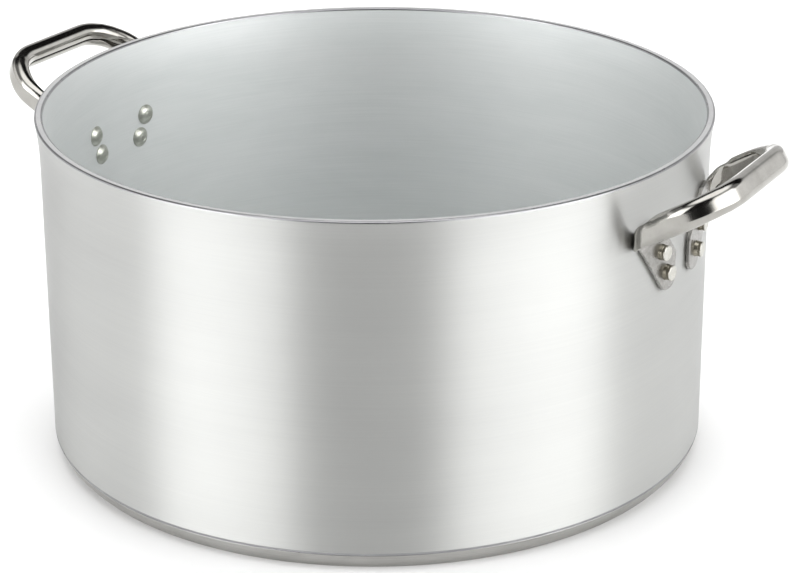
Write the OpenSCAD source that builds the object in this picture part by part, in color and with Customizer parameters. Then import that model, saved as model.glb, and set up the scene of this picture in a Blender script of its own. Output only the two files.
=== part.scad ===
// Two-handled open brew kettle: a heavy aluminium pot with two riveted steel loop handles.
// Millimetres, +Z up. The origin is the centre of the flat base. The handles point along +X and -X,
// apart from their small turn towards the rear, which is +Y.

/* [Pot] */
// Outside diameter at the rim
pot_d = 400; // [300:10:500]
// Height from the base to the rim
pot_h = 207; // [160:1:400]
// How far the rim flares out beyond the wall
flare_w = 2.2; // [0:0.2:3]
// Height of the flare below the rim
flare_h = 36; // [25:1:42]
// Thickness of the wall
wall_t = 5; // [3:0.5:8]
// Thickness of the floor
floor_t = 6; // [4:0.5:10]
// Rounding of the two rim edges
rim_r = 1.2; // [0.5:0.1:1.4]
// Height of the bevel round the base
bevel_h = 9.5; // [5:0.5:12]
// Width of the bevel round the base
bevel_w = 6; // [4:0.5:10]
// Radius of the inside corner between floor and wall
corner_r = 12; // [8:1:20]

/* [Handles] */
// Half of the grip's width, to the middle of the tube
grip_y = 51.5; // [50:0.5:52]
// Length of a handle along its slope, from the wall to the middle of the grip
loop_l = 51; // [48:0.5:70]
// Radius of the two grip corners, along the middle of the tube
loop_r = 27; // [20:1:28]
// Angle by which each handle is turned towards the rear of the pot, in degrees
handle_turn = 1.35; // [0:0.05:2]
// Slope of a handle above the horizontal, in degrees
loop_tilt = 30; // [24:0.5:36]
// Depth of the arm roots below the rim
root_drop = 30; // [28:0.5:36]
// Thickness of the grip tube, along the slope
grip_t = 11; // [10.5:0.5:12]
// Height of the grip tube, across the slope
grip_h = 15; // [14:0.5:18]
// Radius of the grip tube's long edges
grip_r = 5; // [3:0.25:5]
// Height of the arms' flat sheet where it bends onto the wall, across the slope
root_h = 11; // [10:0.5:13]
// Outer radius of the bend between an arm and its ear
bend_r = 8; // [7.5:0.5:10]
// Thickness of the handle's sheet
sheet_t = 2; // [1.5:0.25:2.5]
// Thickness of the ears that lie on the wall
ear_t = 2.5; // [2:0.25:4]

/* [Rivets] */
// Distance of an upper rivet from the middle of its handle
upper_y = 26.5; // [24:0.5:32]
// Depth of an upper rivet below the rim
upper_drop = 48.6; // [46:0.2:52]
// Distance of a lower rivet from the middle of its handle
lower_y = 20.6; // [18:0.1:24]
// Depth of a lower rivet below the rim
lower_drop = 62.4; // [60:0.2:66]
// Diameter of a rivet's shank and of its hole
shank_d = 8; // [6:0.2:8.4]
// Diameter of the closed tail outside the ear
tail_d = 8.8; // [8.6:0.1:10]
// Length of the closed tail outside the ear
tail_l = 4.2; // [3:0.1:8]
// Diameter of the domed head inside the pot
head_d = 12.6; // [11:0.2:14]
// Height of the domed head inside the pot
head_h = 3; // [2:0.25:5]
// Diameter of the flat on top of the domed head
head_flat_d = 4; // [2:0.5:6]

/* [Hidden] */
$fn = 96;

rim_r_out = pot_d / 2;
pot_r = rim_r_out - flare_w;
bore_r = pot_r - wall_t;
ear_r = pot_r + ear_t;
// How far a cutting shape runs past what it cuts
past = 20;
// Turn of each handle about the pot
right_turn = handle_turn;
left_turn = 180 - handle_turn;
// Angle at which the rim's rounding leaves the flared wall
rim_start = 5;
// How far one shape laps into the next one of the same solid
lap = 1;
// Facets of a full circle in the pot's outline
pot_fn = 180;
// Power of the flare's curve, so that it starts flush with the straight wall
flare_power = 3;
// How far the bevel bulges beyond a straight cone
bevel_bulge = 0.8;
// Chamfer on the free end of a rivet's tail
tail_chamfer = 0.8;
// Straight flank under a rivet's dome
head_edge = 0.6;
// How far a rivet's dome bulges beyond a straight cone
head_bulge = 0.5;
// Length of an arm's open channel, from the wall to where it closes into a tube
seam_l = 22;
// Straight length of an arm, from the wall to its corner
arm_l = loop_l - loop_r;
// How far the outside of the bend stays within the arm's outer face
bend_inset = 0.1;
// Centre of the bend, whose outside touches the wall and ends in the arm's sheet
bend_y = grip_y + grip_t / 2 - bend_inset - bend_r;
bend_x = sqrt(pow(pot_r + bend_r, 2) - bend_y * bend_y);
// How far the bend laps into the arm
bend_lap = 1.5;
// Where the outside of the bend touches the wall
touch_x = pot_r * bend_x / (pot_r + bend_r);
// Depth below the rim of the sheet's top edge at that place, and the edge's slope in degrees
taper_drop = 31.5;
taper_slope = 51;

aluminium = [0.80, 0.81, 0.81];
steel = [0.70, 0.69, 0.66];
rivet_metal = [0.74, 0.74, 0.68];

// Ear outline as [y, height from the rim, corner radius], for the ear on the +Y side
ear_corners = [[47, -taper_drop, 1], [47.5, -40, 2], [22.3, -73.8, 7], [9.7, -73.8, 7],
               [9.7, -53, 3], [30, -29, 4], [40, -28, 3]];

// Points of an arc about a centre
function arc(centre, r, from, to, steps = 8) =
    [for (i = [0:steps]) let (a = from + (to - from) * i / steps)
        centre + r * [cos(a), sin(a)]];

// Centre and radius of the arc from a to b that bulges to the right of the way from a to b
function bulge_r(a, b, rise) = norm(b - a) * norm(b - a) / (8 * rise) + rise / 2;
function bulge_centre(a, b, rise) =
    let (way = (b - a) / norm(b - a), right = [way.y, -way.x])
    (a + b) / 2 - right * (bulge_r(a, b, rise) - rise);

// Points of a bulging arc from a to b
function bulge(a, b, rise, steps = 6) =
    let (c = bulge_centre(a, b, rise), r = bulge_r(a, b, rise),
         from = atan2(a.y - c.y, a.x - c.x), to = atan2(b.y - c.y, b.x - c.x))
    arc(c, r, from, to, steps);

// Closed outline with each corner of [x, y, radius] rounded by its own radius
function rounded(corners, steps = 5) =
    let (n = len(corners))
    [for (i = [0:n - 1])
        let (p = [corners[i].x, corners[i].y], r = corners[i][2],
             before = corners[(i + n - 1) % n], after = corners[(i + 1) % n],
             u = [before.x, before.y] - p, v = [after.x, after.y] - p,
             un = u / norm(u), vn = v / norm(v),
             half = acos(un * vn) / 2,
             mid = (un + vn) / norm(un + vn),
             centre = p + mid * r / sin(half),
             start = p + un * r / tan(half) - centre,
             end = p + vn * r / tan(half) - centre,
             from = atan2(start.y, start.x),
             turn = atan2(start.x * end.y - start.y * end.x, start * end))
        each arc(centre, r, from, from + turn, steps)];

// Line of the flare, from the straight wall of radius r up to the rim's rounding
function flare(r, steps = 10) =
    [for (i = [0:steps]) let (s = i / steps)
        [r + flare_w * pow(s, flare_power), pot_h - flare_h + (flare_h - rim_r) * s]];

function reversed(points) = [for (i = [len(points) - 1:-1:0]) points[i]];

// Half section of the pot: out along the base, up the wall, over the rim and down inside
module pot_section() {
    polygon(concat(
        [[0, 0]],
        bulge([pot_r - bevel_w, 0], [pot_r, bevel_h], bevel_bulge),
        flare(pot_r),
        arc([rim_r_out - rim_r, pot_h - rim_r], rim_r, rim_start, 90),
        arc([rim_r_out - wall_t + rim_r, pot_h - rim_r], rim_r, 90, 180 - rim_start),
        reversed(flare(bore_r)),
        arc([bore_r - corner_r, floor_t + corner_r], corner_r, 0, -90, 12),
        [[0, floor_t]]));
}

// Puts its children on the wall: X along the rivet's axis, outwards from the wall's outside
module at_wall(y, drop) {
    rotate([0, 0, asin(y / pot_r)])
        translate([pot_r, 0, pot_h - drop])
            children();
}

// The four rivet places of one handle
module at_rivets() {
    for (side = [-1, 1]) {
        at_wall(side * upper_y, upper_drop) children();
        at_wall(side * lower_y, lower_drop) children();
    }
}

// One rivet's hole through the wall and the ear
module rivet_hole() {
    translate([-past, 0, 0])
        rotate([0, 90, 0])
            cylinder(d = shank_d, h = 2 * past);
}

module pot_body() {
    color(aluminium)
        difference() {
            rotate_extrude($fn = pot_fn) pot_section();
            for (turn = [right_turn, left_turn]) rotate([0, 0, turn]) at_rivets() rivet_hole();
        }
}

// Puts its children on the handle's slope: X along the slope, Z across it
module on_slope() {
    translate([pot_r, 0, pot_h - root_drop])
        rotate([0, -loop_tilt, 0])
            children();
}

// Box with rounded edges, as a section whose height is along Y
module rounded_box(thickness, height, r) {
    for (x = [-1, 1], y = [-1, 1])
        translate([x * (thickness / 2 - r), y * (height / 2 - r)]) circle(r = r);
    square([thickness, height - 2 * r], center = true);
    square([thickness - 2 * r, height], center = true);
}

// Sheet section of the grip tube
module tube_section() {
    difference() {
        rounded_box(grip_t, grip_h, grip_r);
        rounded_box(grip_t - 2 * sheet_t, grip_h - 2 * sheet_t, grip_r - sheet_t);
    }
}

// One corner of the tube, from the grip to an arm
module corner() {
    translate([arm_l, grip_y - loop_r, 0])
        rotate_extrude(angle = 90) translate([loop_r, 0]) tube_section();
}

// One straight arm of the tube, running in through the wall so that it can be trimmed there
module arm() {
    translate([arm_l, grip_y, 0])
        rotate([0, -90, 0]) rotate([0, 0, 90])
            linear_extrude(arm_l + past) tube_section();
}

// Wedge that opens an arm's inner side into a channel on its way to the wall
module channel_cut() {
    inner_y = grip_y - grip_t / 2 - lap;
    translate([0, 0, -grip_h])
        linear_extrude(2 * grip_h)
            polygon([[seam_l, inner_y], [0, grip_y + lap], [-2 * past, grip_y + lap],
                     [-2 * past, inner_y]]);
}

// The straight grip
module grip() {
    translate([loop_l, loop_r - grip_y, 0])
        rotate([-90, 0, 0])
            linear_extrude(2 * (grip_y - loop_r)) tube_section();
}

// Everything above the sheet's top edge, which drops from an arm towards the wall
module taper_cut() {
    translate([touch_x, 0, pot_h - taper_drop])
        rotate([0, -taper_slope, 0])
            translate([-past, -pot_r, 0])
                cube([2 * past, pot_d, 2 * past]);
}

// The bend from an arm's outer face to the ear, a piece of upright tube cut along the slope
module bend() {
    intersection() {
        translate([bend_x, bend_y, pot_h - 2 * root_drop])
            difference() {
                cylinder(r = bend_r, h = 2 * root_drop);
                translate([0, 0, -past]) cylinder(r = bend_r - sheet_t, h = 4 * root_drop);
            }
        // Keeps the quarter between the wall and the arm, with a lap into the arm
        linear_extrude(pot_h)
            polygon([[bend_x + bend_lap, bend_y], [bend_x + bend_lap, bend_y + 2 * bend_r],
                     [pot_r - past, bend_y + 2 * bend_r],
                     [pot_r - past, bend_y * (pot_r - past) / bend_x]]);
        on_slope() translate([-past, -pot_r, -root_h / 2]) cube([2 * past, pot_d, root_h]);
    }
}

// One ear: a flat outline wrapped onto the wall
module ear() {
    intersection() {
        difference() {
            cylinder(r = ear_r, h = pot_h, $fn = pot_fn);
            translate([0, 0, -past]) cylinder(r = pot_r, h = 2 * pot_h, $fn = pot_fn);
        }
        translate([pot_r - past, 0, pot_h])
            rotate([90, 0, 90])
                linear_extrude(2 * past) polygon(rounded(ear_corners));
    }
}

// Draws its children and their mirror image across the middle of the handle
module both_sides() {
    children();
    mirror([0, 1, 0]) children();
}

// One handle, pointing along +X
module handle() {
    difference() {
        union() {
            difference() {
                on_slope() {
                    grip();
                    both_sides() {
                        corner();
                        difference() {
                            arm();
                            channel_cut();
                        }
                    }
                }
                // The arms start where the bends end
                translate([0, -pot_r, 0]) cube([bend_x, pot_d, 2 * pot_h]);
            }
            both_sides() {
                bend();
                ear();
            }
        }
        taper_cut();
        at_rivets() rivet_hole();
    }
}

module handle_right() {
    color(steel) rotate([0, 0, right_turn]) handle();
}

module handle_left() {
    color(steel) rotate([0, 0, left_turn]) handle();
}

// Half section of a rivet's head, with its dome rising along Y
module head_section() {
    polygon(concat(
        [[0, -wall_t / 2], [head_d / 2, -wall_t / 2], [head_d / 2, head_edge]],
        bulge([head_d / 2, head_edge], [head_flat_d / 2, head_h], head_bulge),
        [[0, head_h]]));
}

// One rivet along X, with X = 0 at the outside of the wall
module rivet_shape() {
    tail_end = ear_t + tail_l;
    rotate([0, 90, 0]) {
        translate([0, 0, -wall_t - lap]) cylinder(d = shank_d, h = wall_t + ear_t + 2 * lap);
        translate([0, 0, ear_t]) cylinder(d = tail_d, h = tail_l - tail_chamfer);
        translate([0, 0, tail_end - tail_chamfer])
            cylinder(d1 = tail_d, d2 = tail_d - 2 * tail_chamfer, h = tail_chamfer);
    }
    translate([-wall_t, 0, 0]) rotate([0, -90, 0]) rotate_extrude() head_section();
}

// A rivet in its place, with its head closed onto the inside of the wall
module rivet(turn, y, drop) {
    color(rivet_metal)
        rotate([0, 0, turn])
            at_wall(y, drop)
                rivet_shape();
}

module rivet_right_front_upper() { rivet(right_turn, -upper_y, upper_drop); }
module rivet_right_front_lower() { rivet(right_turn, -lower_y, lower_drop); }
module rivet_right_rear_upper() { rivet(right_turn, upper_y, upper_drop); }
module rivet_right_rear_lower() { rivet(right_turn, lower_y, lower_drop); }
module rivet_left_front_upper() { rivet(left_turn, upper_y, upper_drop); }
module rivet_left_front_lower() { rivet(left_turn, lower_y, lower_drop); }
module rivet_left_rear_upper() { rivet(left_turn, -upper_y, upper_drop); }
module rivet_left_rear_lower() { rivet(left_turn, -lower_y, lower_drop); }

pot_body();
handle_right();
handle_left();
rivet_right_front_upper();
rivet_right_front_lower();
rivet_right_rear_upper();
rivet_right_rear_lower();
rivet_left_front_upper();
rivet_left_front_lower();
rivet_left_rear_upper();
rivet_left_rear_lower();
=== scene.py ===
import math

import bpy
from mathutils import Matrix, Vector


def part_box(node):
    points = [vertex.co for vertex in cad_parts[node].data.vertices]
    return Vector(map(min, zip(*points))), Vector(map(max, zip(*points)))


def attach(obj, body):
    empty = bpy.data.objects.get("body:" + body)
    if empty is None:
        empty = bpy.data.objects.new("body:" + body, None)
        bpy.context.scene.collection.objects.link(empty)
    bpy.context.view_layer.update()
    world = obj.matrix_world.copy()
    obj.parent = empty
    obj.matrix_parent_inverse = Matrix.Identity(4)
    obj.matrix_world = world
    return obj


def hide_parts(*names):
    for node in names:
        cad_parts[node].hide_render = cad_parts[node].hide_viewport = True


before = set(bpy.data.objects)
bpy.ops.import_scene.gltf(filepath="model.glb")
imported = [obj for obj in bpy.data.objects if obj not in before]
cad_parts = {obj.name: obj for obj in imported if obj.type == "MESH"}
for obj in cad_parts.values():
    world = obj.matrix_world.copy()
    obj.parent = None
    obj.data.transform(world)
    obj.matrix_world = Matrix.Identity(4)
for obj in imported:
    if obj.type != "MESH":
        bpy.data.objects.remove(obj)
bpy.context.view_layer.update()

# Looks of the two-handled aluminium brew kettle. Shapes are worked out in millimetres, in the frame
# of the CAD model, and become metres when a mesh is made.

MM = 0.001

# ---------------------------------------------------------------- sizes

POT_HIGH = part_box("pot_body")[1]
RIM_R = round(POT_HIGH.y / MM)
POT_H = round(POT_HIGH.z / MM)
FLARE_W = 2.2
FLARE_H = 36
WALL_T = 5
FLOOR_T = 6
RIM_EDGE = 1.2
BEVEL_H = 9.5
BEVEL_W = 6
CORNER_R = 12
POT_R = RIM_R - FLARE_W
BORE_R = POT_R - WALL_T

GRIP_Y = 51.5
LOOP_L = 51
LOOP_R = 27
HANDLE_TURN = math.radians(1.35)
SLOPE = math.radians(30)
ROOT_DROP = 30
GRIP_T = 11
GRIP_H = 15
GRIP_R = 5
BEND_R = 8
SHEET_T = 2
EAR_T = 2.5
# Corners of an ear as (y, height from the rim, radius)
EAR_CORNERS = [(47, -31.5, 1), (47.5, -40, 2), (22.3, -73.8, 7), (9.7, -73.8, 7),
               (9.7, -53, 3), (30, -29, 4), (40, -28, 3)]

TAIL_R = 4.4
TAIL_L = 4.2
HEAD_R = 6.3
HEAD_H = 3
HEAD_FLAT_R = 2

# ---------------------------------------------------------------- small maths


def ease(t):
    """Smooth step from 0 to 1 as t goes from 0 to 1."""
    t = min(max(t, 0.0), 1.0)
    return t * t * (3 - 2 * t)


def mix(a, b, t):
    return a + (b - a) * t


def arc(centre, r, start, end, steps):
    """Points of an arc, with its angles in degrees."""
    turns = [math.radians(mix(start, end, i / steps)) for i in range(steps + 1)]
    return [(centre[0] + r * math.cos(a), centre[1] + r * math.sin(a)) for a in turns]


def rounded(corners, steps=8):
    """Closed outline whose corners (x, y, radius) are rounded."""
    outline = []
    count = len(corners)
    for i, (x, y, r) in enumerate(corners):
        p = Vector((x, y))
        u = (Vector(corners[i - 1][:2]) - p).normalized()
        v = (Vector(corners[(i + 1) % count][:2]) - p).normalized()
        half = u.angle(v) / 2
        centre = p + (u + v).normalized() * r / math.sin(half)
        start = p + u * r / math.tan(half) - centre
        end = p + v * r / math.tan(half) - centre
        turn = math.atan2(start.x * end.y - start.y * end.x, start.dot(end))
        for k in range(steps + 1):
            outline.append(centre + Matrix.Rotation(turn * k / steps, 2) @ start)
    return outline


def span(outline, x):
    """Lowest and highest y where the line at x crosses a closed outline."""
    hits = []
    for i, q in enumerate(outline):
        p = outline[i - 1]
        if (p.x - x) * (q.x - x) <= 0 and abs(q.x - p.x) > 1e-9:
            hits.append(mix(p.y, q.y, (x - p.x) / (q.x - p.x)))
    return min(hits), max(hits)


# ---------------------------------------------------------------- meshes


def add_piece(name, points, faces, materials, replaced, face_slots=None, sharp=35):
    """Makes a mesh piece from points in millimetres, which rides on the body and replaces its node."""
    mesh = bpy.data.meshes.new(name)
    mesh.from_pydata([tuple(c * MM for c in p) for p in points], [], faces)
    for material in materials:
        mesh.materials.append(material)
    mesh.polygons.foreach_set("use_smooth", [True] * len(faces))
    if face_slots:
        mesh.polygons.foreach_set("material_index", face_slots)
    mesh.validate()
    mesh.update()
    mesh.set_sharp_from_angle(angle=math.radians(sharp))
    piece = bpy.data.objects.new(name, mesh)
    bpy.context.scene.collection.objects.link(piece)
    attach(piece, "root")
    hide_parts(replaced)
    return piece


def lathe(profile, segments):
    """Turns a profile of (radius, height) about Z, from its centre point to its last point, which
    is a centre point too. Returns points, faces and, for each face, the profile step it lies on."""
    points = [(0, 0, profile[0][1])]
    for r, z in profile[1:-1]:
        for k in range(segments):
            a = 2 * math.pi * k / segments
            points.append((r * math.cos(a), r * math.sin(a), z))
    points.append((0, 0, profile[-1][1]))
    faces = []
    steps = []
    rings = len(profile) - 2
    for k in range(segments):
        n = (k + 1) % segments
        faces.append((0, 1 + n, 1 + k))
        steps.append(0)
        for i in range(rings - 1):
            a, b = 1 + i * segments, 1 + (i + 1) * segments
            faces.append((a + k, a + n, b + n, b + k))
            steps.append(i + 1)
        last = 1 + (rings - 1) * segments
        faces.append((last + k, last + n, len(points) - 1))
        steps.append(rings)
    return points, faces, steps


# ---------------------------------------------------------------- node materials


def material_with(name):
    """A new material and its tree and Principled shader."""
    material = bpy.data.materials.new(name)
    material.use_nodes = True
    tree = material.node_tree
    tree.nodes.clear()
    output = tree.nodes.new("ShaderNodeOutputMaterial")
    shader = tree.nodes.new("ShaderNodeBsdfPrincipled")
    tree.links.new(shader.outputs["BSDF"], output.inputs["Surface"])
    return material, tree, shader


def streaks(tree, stretch, detail=6.0, warp=0.0):
    """Noise in the object's own coordinates, drawn out by its three scales."""
    place = tree.nodes.new("ShaderNodeTexCoord")
    mapping = tree.nodes.new("ShaderNodeMapping")
    mapping.inputs["Scale"].default_value = stretch
    noise = tree.nodes.new("ShaderNodeTexNoise")
    noise.inputs["Scale"].default_value = 1.0
    noise.inputs["Detail"].default_value = detail
    noise.inputs["Roughness"].default_value = 0.6
    noise.inputs["Distortion"].default_value = warp
    tree.links.new(place.outputs["Object"], mapping.inputs["Vector"])
    tree.links.new(mapping.outputs["Vector"], noise.inputs["Vector"])
    return noise.outputs["Fac"]


def remap(tree, value, from_low, from_high, low, high):
    """Value carried from one range to another, clamped."""
    node = tree.nodes.new("ShaderNodeMapRange")
    node.inputs["From Min"].default_value = from_low
    node.inputs["From Max"].default_value = from_high
    node.inputs["To Min"].default_value = low
    node.inputs["To Max"].default_value = high
    tree.links.new(value, node.inputs["Value"])
    return node.outputs["Result"]


def combine(tree, operation, a, b):
    """Math node on two values, either of which may be a number."""
    node = tree.nodes.new("ShaderNodeMath")
    node.operation = operation
    for socket, value in zip(node.inputs, (a, b)):
        if isinstance(value, (int, float)):
            socket.default_value = value
        else:
            tree.links.new(value, socket)
    return node.outputs["Value"]


def blend_colours(tree, factor, dark, light):
    """Colour between two, by a factor."""
    node = tree.nodes.new("ShaderNodeMix")
    node.data_type = "RGBA"
    node.inputs["A"].default_value = (*dark, 1)
    node.inputs["B"].default_value = (*light, 1)
    tree.links.new(factor, node.inputs["Factor"])
    return node.outputs["Result"]


def metal(name, dark, light, rough, lines, cloud, bump, anisotropy=0.0, line_share=0.5):
    """Worked metal: fine machining lines and soft clouds in its colour, its gloss and its surface.

    rough is its lowest and highest roughness, lines and cloud are noise scales, and bump is the
    depth of the lines in metres."""
    material, tree, shader = material_with(name)
    fine = streaks(tree, lines)
    soft = streaks(tree, cloud, detail=3.0, warp=0.4)
    both = combine(tree, "ADD",
                   combine(tree, "MULTIPLY", fine, line_share),
                   combine(tree, "MULTIPLY", soft, 1 - line_share))
    colour = blend_colours(tree, remap(tree, both, 0.35, 0.65, 0, 1), dark, light)
    tree.links.new(colour, shader.inputs["Base Color"])
    shader.inputs["Metallic"].default_value = 1.0
    tree.links.new(remap(tree, both, 0.3, 0.7, rough[1], rough[0]), shader.inputs["Roughness"])
    if anisotropy:
        shader.inputs["Anisotropic"].default_value = anisotropy
        shader.inputs["Anisotropic Rotation"].default_value = 0.25
        tangent = tree.nodes.new("ShaderNodeTangent")
        tangent.direction_type = "RADIAL"
        tangent.axis = "Z"
        tree.links.new(tangent.outputs["Tangent"], shader.inputs["Tangent"])
    raised = tree.nodes.new("ShaderNodeBump")
    raised.inputs["Strength"].default_value = 1.0
    raised.inputs["Distance"].default_value = bump
    tree.links.new(fine, raised.inputs["Height"])
    tree.links.new(raised.outputs["Normal"], shader.inputs["Normal"])
    return material


OUTSIDE = metal("turned_aluminium", (0.60, 0.605, 0.594), (0.625, 0.63, 0.615), (0.44, 0.51),
                (9, 9, 1500), (5, 5, 16), 0.000006, anisotropy=0.96)
INSIDE = metal("matte_aluminium", (0.715, 0.735, 0.731), (0.755, 0.769, 0.766), (0.64, 0.74),
               (16, 16, 1100), (9, 9, 30), 0.00002, anisotropy=0.3, line_share=0.4)
RIM = metal("polished_rim", (0.72, 0.72, 0.73), (0.80, 0.80, 0.80), (0.12, 0.18),
            (60, 60, 2500), (30, 30, 30), 0.000006)
# Dark metal for the rim's rounded edges, as painted dark reflection, and for the groove above the
# bevel, as painted shade.
PAINTED_EDGE_SHADE = metal("painted_edge_shade", (0.28, 0.28, 0.29), (0.42, 0.42, 0.43), (0.24, 0.34),
                  (60, 60, 2500), (30, 30, 30), 0.000006)
BASE = metal("turned_base", (0.34, 0.335, 0.32), (0.48, 0.475, 0.46), (0.34, 0.46),
             (14, 14, 3200), (20, 20, 60), 0.00003, anisotropy=0.6)
CHROME = metal("polished_steel", (0.37, 0.36, 0.335), (0.45, 0.44, 0.415), (0.10, 0.18),
               (160, 160, 160), (45, 45, 45), 0.00002, line_share=0.3)
SCUFFED = metal("scuffed_steel", (0.25, 0.245, 0.23), (0.40, 0.39, 0.375), (0.22, 0.38),
                (420, 420, 420), (90, 90, 90), 0.00006)
# The rivet tail's barrel is painted dark as shade and its end face painted light as a highlight,
# though both are the same aluminium.
RIVET_TAIL_PAINTED_SHADE = metal("rivet_tail_painted_shade", (0.17, 0.155, 0.12), (0.36, 0.34, 0.28), (0.24, 0.40),
                   (500, 500, 500), (160, 160, 160), 0.00006)
RIVET_END_PAINTED_HIGHLIGHT = metal("rivet_end_painted_highlight", (0.48, 0.47, 0.43), (0.64, 0.63, 0.585), (0.24, 0.36),
                  (500, 500, 500), (160, 160, 160), 0.00004)
RIVET_HEAD = metal("rivet_head_aluminium", (0.40, 0.41, 0.36), (0.56, 0.57, 0.52), (0.30, 0.40),
                   (400, 400, 400), (150, 150, 150), 0.00003)

# ---------------------------------------------------------------- the pot

POT_SEGMENTS = 288
FLARE_STEPS = 16
BEVEL_STEPS = 8
# How far the bevel swells beyond a straight cone, and the direction of that as (radius, height)
BEVEL_SWELL = 0.8
SWELL_WAY = (0.8, -0.6)
# Width of the underside's last ring, and depth of the turned groove above the bevel
BASE_EDGE = 0.7
GROOVE_DEPTH = 0.4


def flare(r):
    """Points of the flared wall, from the straight wall of radius r up to the rim's rounding."""
    rise = FLARE_H - RIM_EDGE
    return [(r + FLARE_W * (i / FLARE_STEPS) ** 3, POT_H - FLARE_H + rise * i / FLARE_STEPS)
            for i in range(FLARE_STEPS + 1)]


def pot_profile():
    """The pot's half section, as zones of points that each have their own material."""
    bevel = [(POT_R - BEVEL_W, 0.0)]
    for i in range(1, BEVEL_STEPS + 1):
        t = i / BEVEL_STEPS
        swell = BEVEL_SWELL * math.sin(math.pi * t)
        bevel.append((POT_R - BEVEL_W * (1 - t) + swell * SWELL_WAY[0],
                      BEVEL_H * t + swell * SWELL_WAY[1]))
    groove = [(POT_R - 0.05, BEVEL_H + 0.1), (POT_R - GROOVE_DEPTH, BEVEL_H + 0.4),
              (POT_R - GROOVE_DEPTH, BEVEL_H + 0.8), (POT_R - 0.04, BEVEL_H + 1.1)]
    wall = [(POT_R, BEVEL_H + 1.6 + i * 20) for i in range(8)]
    underside = [(0, 0), (30, 0), (90, 0), (150, 0), (POT_R - BEVEL_W - BASE_EDGE, 0)]
    inner_wall = [(BORE_R, z) for z in (160, 130, 100, 70, 40)]
    corner = arc((BORE_R - CORNER_R, FLOOR_T + CORNER_R), CORNER_R, 0, -90, 12)
    outer_edge = arc((RIM_R - RIM_EDGE, POT_H - RIM_EDGE), RIM_EDGE, 10, 90, 6)
    inner_edge = arc((RIM_R - WALL_T + RIM_EDGE, POT_H - RIM_EDGE), RIM_EDGE, 90, 170, 6)
    floor = [(BORE_R - CORNER_R - 10, FLOOR_T), (120, FLOOR_T), (60, FLOOR_T), (0, FLOOR_T)]
    return [
        (BASE, underside + bevel),
        # The groove gets the dark edge metal as painted shade, and the rim's two rounded edges get it
        # as painted dark reflection.
        (PAINTED_EDGE_SHADE, groove),
        (OUTSIDE, wall + flare(POT_R)),
        (PAINTED_EDGE_SHADE, outer_edge[:-1]),
        (RIM, [outer_edge[-1]]),
        (PAINTED_EDGE_SHADE, inner_edge),
        (INSIDE, flare(BORE_R)[::-1] + inner_wall + corner + floor),
    ]


def build_pot():
    zones = pot_profile()
    materials = list(dict.fromkeys(material for material, line in zones))
    profile = []
    step_slots = []
    for material, line in zones:
        profile += line
        step_slots += [materials.index(material)] * len(line)
    points, faces, steps = lathe(profile, POT_SEGMENTS)
    return add_piece("kettle_pot", points, faces, materials, "pot_body",
                     face_slots=[step_slots[s] for s in steps])


# ---------------------------------------------------------------- the handles

# Rounding of the sheet's edges, steps across its width, and the gap between its lips in the grip
EDGE_R = 0.45
WIDTH_STEPS = 100
SEAM_GAP = 1.5
# How far an arm arches upwards and outwards, and the run over which it stands outwards
BOW = 0.6
BULGE = 1.4
BULGE_L = 46
ARM_L = LOOP_L - LOOP_R
# Half the grip's outer face, the run round one of its long edges, and the width of its sides
FACE_HALF = GRIP_H / 2 - GRIP_R
TURN_L = math.pi / 2 * GRIP_R
SIDE_W = GRIP_T - 2 * GRIP_R
TUBE_HALF = 2 * FACE_HALF + 2 * TURN_L + SIDE_W - SEAM_GAP / 2
BEND_Y = GRIP_Y + GRIP_T / 2 - BEND_R
BEND_X = math.sqrt((POT_R + BEND_R) ** 2 - BEND_Y ** 2)
ROOT_Z = POT_H - ROOT_DROP
ALONG = Vector((math.cos(SLOPE), 0, math.sin(SLOPE)))
ACROSS = Vector((math.sin(SLOPE), 0, -math.cos(SLOPE)))
DOWN = Vector((0, 0, -1))
BEND_END_U = (BEND_X - POT_R) / math.cos(SLOPE)
# How far the sheet is curled, and half its width, where the bend ends
BEND_CURL = 0.5
BEND_HALF = 7.2
# How much sooner than the bend itself its section is done
BEND_LEAD = 1.3
# Where the ear's own outline ends: from there its last section runs on to the bend
EAR_END_Y = 46.6
# Where the arm's sheet is fully curled, and where its lips stand up fully, with half its width there
CURL_L = 11.5
LIP_L = 18
LIP_HALF = 11.5
# Run along the outside of the arm and its corner where the lips start to close and where they meet
SEAM_START = 16
SEAM_END = 56


def sheet_section(half, curl, thickness, lift=0.0):
    """Closed section of the curled sheet as (across, inward) points.

    half is half the sheet's width along its outer face, curl is 0 for a flat strip and 1 for the
    grip's section, and lift moves the outer face inwards, as at a rounded free end."""
    angle = 0.0
    a = 0.0
    b = 0.0
    # Points (across, inward, angle) along the outer face, each after a few finer steps
    run = [(a, b, angle)]
    fine = 6
    steps = (WIDTH_STEPS // 2) * fine
    du = (half - EDGE_R) / steps
    for i in range(steps):
        u = (i + 0.5) * du
        on_first_edge = FACE_HALF < u < FACE_HALF + TURN_L
        on_second_edge = FACE_HALF + TURN_L + SIDE_W < u < FACE_HALF + 2 * TURN_L + SIDE_W
        if on_first_edge or on_second_edge:
            angle += curl * du / GRIP_R
        a += math.cos(angle) * du
        b += math.sin(angle) * du
        if (i + 1) % fine == 0:
            run.append((a, b, angle))

    def at(point, depth, out=0.0):
        """The point this deep in the sheet and this far out beyond its edge."""
        a, b, angle = point
        return (a + out * math.cos(angle) - depth * math.sin(angle),
                b + out * math.sin(angle) + depth * math.cos(angle))

    low, high = lift, thickness - lift
    corner = EDGE_R * (1 - math.sqrt(0.5))
    outer = [at(p, low) for p in run]
    inner_face = [at(p, high) for p in run]
    edge = [at(run[-1], low + corner, EDGE_R - corner), at(run[-1], low + EDGE_R, EDGE_R),
            at(run[-1], high - EDGE_R, EDGE_R), at(run[-1], high - corner, EDGE_R - corner)]
    right = outer + edge + inner_face[::-1]
    left = [(-a, b) for a, b in right]
    return right + left[::-1][1:-1]


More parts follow.
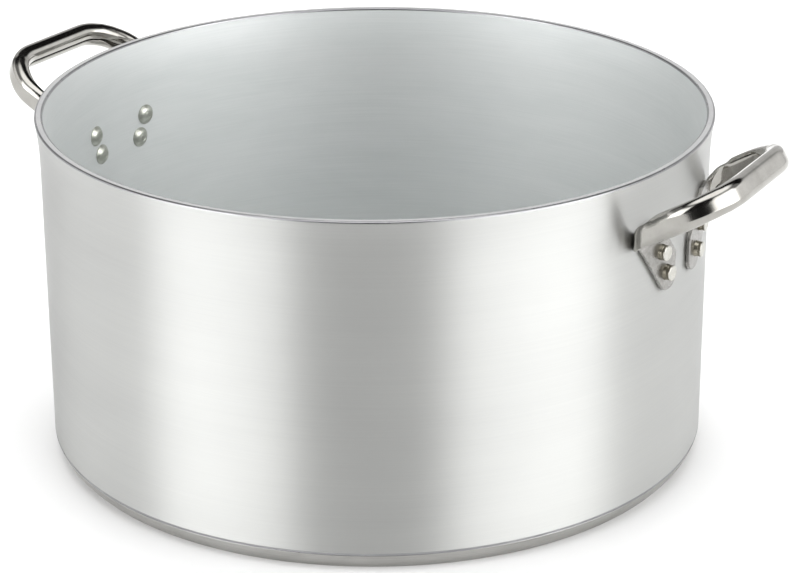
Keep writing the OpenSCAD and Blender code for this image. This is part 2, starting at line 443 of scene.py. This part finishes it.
def ear_stations():
    """Sections of the ear, from its free end to the bend, as (origin, across, inward, section)."""
    outline = rounded(EAR_CORNERS)
    first = min(p.x for p in outline)
    touch = POT_R * BEND_Y / (POT_R + BEND_R)
    ys = [first + d for d in (0.02, EDGE_R, 1, 1.6, 2.4, 3.2, 4.2, 5.4, 6.8, 8.5)]
    count = 34
    ys += [mix(ys[-1], touch, (i + 1) / count) for i in range(count)]
    stations = []
    for i, y in enumerate(ys):
        low, high = span(outline, min(y, EAR_END_Y))
        phi = math.asin(y / POT_R)
        out = Vector((math.cos(phi), math.sin(phi), 0))
        origin = out * POT_R + Vector((0, 0, POT_H + (low + high) / 2))
        lift = EDGE_R if i == 0 else 0.0
        half = (high - low) / 2
        if i == 0:
            half -= EDGE_R
        stations.append((origin, DOWN, out, sheet_section(half, 0, EAR_T, lift)))
    return stations, span(outline, EAR_END_Y)


def bend_stations(ear_span):
    """Sections round the bend, from the wall to the arm."""
    start = math.atan2(BEND_Y, BEND_X) + math.pi
    end = math.pi / 2
    stations = []
    count = 14
    for i in range(1, count + 1):
        t = i / count
        a = mix(start, end, t)
        away = Vector((math.cos(a), math.sin(a), 0))
        origin = Vector((BEND_X, BEND_Y, 0)) + away * BEND_R
        path_z = ROOT_Z + (origin.x - POT_R) * math.tan(SLOPE)
        ear_z = POT_H + sum(ear_span) / 2
        blend = ease(t * BEND_LEAD)
        origin.z = mix(ear_z, path_z, blend)
        half = mix((ear_span[1] - ear_span[0]) / 2, BEND_HALF, blend)
        thickness = mix(EAR_T, SHEET_T, t)
        stations.append((origin, DOWN, -away, sheet_section(half, BEND_CURL * blend, thickness)))
    return stations


def on_slope(u, y):
    """A point of the sloping plane, u along the slope from the wall, with the arms' gentle arch."""
    arch = BOW * math.sin(math.pi * min(max((u - BEND_END_U) / (LOOP_L - BEND_END_U), 0), 1))
    return Vector((POT_R, y, ROOT_Z)) + ALONG * u - ACROSS * arch


def bulge(run):
    """How far the outside of the arm stands out sideways after this run along it."""
    return BULGE * math.sin(math.pi * min(max((run - BEND_END_U) / (BULGE_L - BEND_END_U), 0), 1)) ** 2


def closing(run):
    """How far the lips have closed after this run along the outside of the arm."""
    return ease((run - SEAM_START) / (SEAM_END - SEAM_START))


def loop_stations():
    """Sections from the start of an arm to the middle of the grip."""
    stations = []
    outer_y = GRIP_Y + GRIP_T / 2
    arm_steps = 30
    for i in range(1, arm_steps + 1):
        u = mix(BEND_END_U, ARM_L, i / arm_steps)
        grown = ease((u - BEND_END_U) / (LIP_L - BEND_END_U))
        curl = mix(BEND_CURL, 1, ease((u - BEND_END_U) / (CURL_L - BEND_END_U)))
        half = mix(mix(BEND_HALF, LIP_HALF, grown), TUBE_HALF, closing(u))
        ahead = (on_slope(u + 0.1, 0) - on_slope(u - 0.1, 0)).normalized()
        square = Vector((ahead.z, 0, -ahead.x))
        across = DOWN.lerp(square, grown).normalized()
        stations.append((on_slope(u, outer_y + bulge(u)), across, Vector((0, -1, 0)),
                         sheet_section(half, curl, SHEET_T)))
    corner_steps = 26
    radius = LOOP_R + GRIP_T / 2
    for i in range(1, corner_steps + 1):
        a = math.pi / 2 * i / corner_steps
        u = ARM_L + radius * math.sin(a)
        origin = on_slope(u, GRIP_Y - LOOP_R + radius * math.cos(a))
        ahead = (on_slope(u + 0.1, 0) - on_slope(u - 0.1, 0)).normalized()
        across = Vector((ahead.z, 0, -ahead.x))
        inward = -(ahead * math.sin(a) + Vector((0, math.cos(a), 0)))
        half = mix(LIP_HALF, TUBE_HALF, closing(ARM_L + radius * a))
        origin -= inward * bulge(ARM_L + radius * a)
        stations.append((origin, across, inward, sheet_section(half, 1, SHEET_T)))
    grip_steps = 8
    start_y = GRIP_Y - LOOP_R
    for i in range(1, grip_steps + 1):
        origin = on_slope(LOOP_L + GRIP_T / 2, start_y * (1 - i / grip_steps))
        stations.append((origin, across, inward, sheet_section(TUBE_HALF, 1, SHEET_T)))
    return stations


def handle_mesh():
    """Points, faces and material slots of one handle on the +X side."""
    ears, ear_span = ear_stations()
    half = ears + bend_stations(ear_span) + loop_stations()
    loops = [[origin + across * a + inward * b for a, b in section]
             for origin, across, inward, section in half]
    mirrored = [[Vector((p.x, -p.y, p.z)) for p in loop] for loop in loops[-2::-1]]
    loops += mirrored
    points = [p for loop in loops for p in loop]
    size = len(loops[0])
    faces = []
    slots = []
    ear_loops = len(ears)
    for i in range(len(loops) - 1):
        is_ear = i < ear_loops or i >= len(loops) - 1 - ear_loops
        for k in range(size):
            n = (k + 1) % size
            a, b = i * size, (i + 1) * size
            faces.append((a + k, b + k, b + n, a + n))
            slots.append(1 if is_ear else 0)
    # Each free end is closed by strips from one side of the section to the other
    for first, flip in ((0, False), ((len(loops) - 1) * size, True)):
        for k in range(size // 2):
            quad = [first + k, first + k + 1, first + (size - k - 1) % size, first + (size - k) % size]
            quad = list(dict.fromkeys(quad))
            if len(quad) > 2:
                faces.append(tuple(quad[::-1] if flip else quad))
                slots.append(1)
    return points, faces, slots


def build_handles():
    points, faces, slots = handle_mesh()
    for side, turn in (("right", HANDLE_TURN), ("left", math.pi - HANDLE_TURN)):
        place = Matrix.Rotation(turn, 3, "Z")
        add_piece(f"formed_handle_{side}", [place @ p for p in points], faces, [CHROME, SCUFFED],
                  f"handle_{side}", face_slots=slots, sharp=50)


# ---------------------------------------------------------------- the rivets

RIVET_SEGMENTS = 48


def rivet_profile():
    """Half section of a rivet, from the end of its tail to its head, with 0 at the wall's outside.

    It comes in three parts, one for each material: the tail's end face, painted light as a highlight,
    the tail with the shank, painted dark as shade, and the head."""
    end = EAR_T + TAIL_L
    face = [(0, end - 0.15), (TAIL_R - 2.2, end - 0.12), (TAIL_R - 1.3, end)]
    face += arc((TAIL_R - 0.7, end - 0.7), 0.7, 80, 10, 5)
    tail = [(TAIL_R, end - 1.1), (TAIL_R - 0.05, end - 1.7), (TAIL_R - 0.22, end - 2.0),
            (TAIL_R - 0.03, end - 2.3), (TAIL_R + 0.05, EAR_T + 1.3), (TAIL_R + 0.12, EAR_T + 0.5),
            (TAIL_R + 0.3, EAR_T + 0.15), (TAIL_R + 0.3, EAR_T - 0.3), (TAIL_R - 0.4, EAR_T - 0.6)]
    shank = [(TAIL_R - 0.4, -WALL_T + 0.8), (HEAD_R - 0.3, -WALL_T + 0.8)]
    dome = []
    for i in range(13):
        t = i / 12
        r = mix(HEAD_R, HEAD_FLAT_R + 0.25, t)
        rise = 0.6 + (HEAD_H - 0.6) * (t + 0.22 * math.sin(math.pi * t))
        dome.append((r, -WALL_T - rise))
    head = [(HEAD_R, -WALL_T + 0.4)] + dome
    head += [(HEAD_FLAT_R, -WALL_T - HEAD_H + 0.16), (HEAD_FLAT_R - 0.3, -WALL_T - HEAD_H + 0.03),
             (1.0, -WALL_T - HEAD_H), (0, -WALL_T - HEAD_H)]
    return face, tail + shank, head


def build_rivets():
    face, tail, head = rivet_profile()
    points, faces, steps = lathe((face + tail + head)[::-1], RIVET_SEGMENTS)
    slots = [(step >= len(head)) + (step >= len(head) + len(tail)) for step in steps]
    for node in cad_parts:
        if not node.startswith("rivet_"):
            continue
        low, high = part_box(node)
        middle = (low + high) / 2 / MM
        turn = math.atan2(middle.y, middle.x)
        place = (Matrix.Rotation(turn, 4, "Z") @ Matrix.Translation((POT_R, 0, middle.z))
                 @ Matrix.Rotation(math.pi / 2, 4, "Y"))
        placed = [place @ Vector(p) for p in points]
        add_piece(f"closed_{node}", placed, faces, [RIVET_HEAD, RIVET_TAIL_PAINTED_SHADE, RIVET_END_PAINTED_HIGHLIGHT], node,
                  face_slots=slots)


# ---------------------------------------------------------------- the studio

CAMERA_AZIMUTH = math.radians(31.3)
CAMERA_AWAY = 1.48394
CAMERA_HEIGHT = 0.69722
CAMERA_TURN = math.radians(30.744)
CAMERA_TILT = math.radians(67.706)
CAMERA_ROLL = math.radians(-0.2005)
CAMERA_LENS = 118.77


def add_camera():
    data = bpy.data.cameras.new("camera")
    data.sensor_width = 36
    data.lens = CAMERA_LENS
    camera = bpy.data.objects.new("camera", data)
    place = Vector((math.sin(CAMERA_AZIMUTH), -math.cos(CAMERA_AZIMUTH), 0)) * CAMERA_AWAY
    place.z = CAMERA_HEIGHT
    aim = (Matrix.Rotation(CAMERA_TURN, 4, "Z") @ Matrix.Rotation(CAMERA_TILT, 4, "X")
           @ Matrix.Rotation(CAMERA_ROLL, 4, "Z"))
    camera.matrix_world = Matrix.Translation(place) @ aim
    bpy.context.scene.collection.objects.link(camera)
    bpy.context.scene.camera = camera


def bearing(degrees, height=0.0):
    """Direction that lies this many degrees to the right of the camera, seen from the kettle."""
    a = CAMERA_AZIMUTH + math.radians(degrees)
    return Vector((math.sin(a), -math.cos(a), height))


def add_light(name, place, target, size, power, mirrored=True):
    data = bpy.data.lights.new(name, "AREA")
    data.shape = "RECTANGLE"
    data.size, data.size_y = size
    data.energy = power
    light = bpy.data.objects.new(name, data)
    light.matrix_world = (Matrix.Translation(place)
                          @ (target - place).to_track_quat("-Z", "Y").to_matrix().to_4x4())
    light.visible_camera = False
    light.visible_glossy = mirrored
    bpy.context.scene.collection.objects.link(light)


# Pale panels round the room as (bearing, half width of the full part, half width with the fade,
# height where it starts to fade out upwards, height where it is gone, brightness)
PANELS = [(-53, 20, 29, 0.60, 0.85, 3.3), (-88, 22, 58, 0.40, 0.60, 1.6),
          (53, 21, 36, 0.60, 0.85, 3.3), (90, 10, 75, 0.40, 0.60, 1.6),
          (180, 20, 40, 0.48, 0.60, 0.95)]
# Heights where the ceiling starts and where it is full, and its brightness
CEILING = (0.82, 0.94, 2.7)
ROOM_LEVEL = 0.01


def add_world():
    """Soft room light: dark behind the camera, pale at both sides, low behind the kettle and above."""
    world = bpy.data.worlds.new("studio")
    world.use_nodes = True
    tree = world.node_tree
    tree.nodes.clear()
    output = tree.nodes.new("ShaderNodeOutputWorld")
    background = tree.nodes.new("ShaderNodeBackground")
    place = tree.nodes.new("ShaderNodeTexCoord")
    flat = tree.nodes.new("ShaderNodeVectorMath")
    flat.operation = "MULTIPLY"
    flat.inputs[1].default_value = (1, 1, 0)
    unit = tree.nodes.new("ShaderNodeVectorMath")
    unit.operation = "NORMALIZE"
    height = tree.nodes.new("ShaderNodeSeparateXYZ")
    tree.links.new(place.outputs["Generated"], flat.inputs[0])
    tree.links.new(flat.outputs[0], unit.inputs[0])
    tree.links.new(place.outputs["Generated"], height.inputs[0])

    def fade(value, from_low, from_high, low, high):
        ramp = remap(tree, value, from_low, from_high, low, high)
        ramp.node.interpolation_type = "SMOOTHSTEP"
        return ramp

    def panel(angle, inner, outer, top, gone, strength):
        dot = tree.nodes.new("ShaderNodeVectorMath")
        dot.operation = "DOT_PRODUCT"
        dot.inputs[1].default_value = bearing(angle)
        tree.links.new(unit.outputs[0], dot.inputs[0])
        wide = fade(dot.outputs["Value"], math.cos(math.radians(outer)),
                    math.cos(math.radians(inner)), 0, strength)
        return combine(tree, "MULTIPLY", wide, fade(height.outputs["Z"], top, gone, 1, 0))

    low, high, strength = CEILING
    level = combine(tree, "ADD", fade(height.outputs["Z"], low, high, 0, strength), ROOM_LEVEL)
    for pale in PANELS:
        level = combine(tree, "ADD", level, panel(*pale))
    tree.links.new(level, background.inputs["Strength"])
    tree.links.new(background.outputs[0], output.inputs[0])
    bpy.context.scene.world = world


def add_floor():
    material, tree, shader = material_with("pale_floor")
    tone = blend_colours(tree, streaks(tree, (3, 3, 3), detail=2.0), (0.90, 0.90, 0.90),
                         (0.92, 0.92, 0.92))
    tree.links.new(tone, shader.inputs["Base Color"])
    shader.inputs["Roughness"].default_value = 0.9
    shader.inputs["Specular IOR Level"].default_value = 0.1
    mesh = bpy.data.meshes.new("floor")
    reach = 12
    mesh.from_pydata([(-reach, -reach, 0), (reach, -reach, 0), (reach, reach, 0),
                      (-reach, reach, 0)], [], [(0, 1, 2, 3)])
    mesh.materials.append(material)
    floor = bpy.data.objects.new("floor", mesh)
    bpy.context.scene.collection.objects.link(floor)


def light_studio():
    kettle = Vector((0, 0, 0.1))
    add_light("softbox_left", bearing(-100, 0.9) * 1.5, kettle, (1.4, 1.2), 1.5)
    add_light("softbox_right", bearing(80, 0.9) * 1.5, kettle, (1.4, 1.2), 1.5)
    add_light("softbox_back", bearing(180, 1.3) * 1.6, bearing(180) * 0.9, (2.4, 1.6), 34,
              mirrored=False)
    scene = bpy.context.scene
    scene.view_settings.view_transform = "Standard"
    scene.view_settings.look = "None"


add_camera()
add_world()
light_studio()
add_floor()
build_pot()
build_handles()
build_rivets()
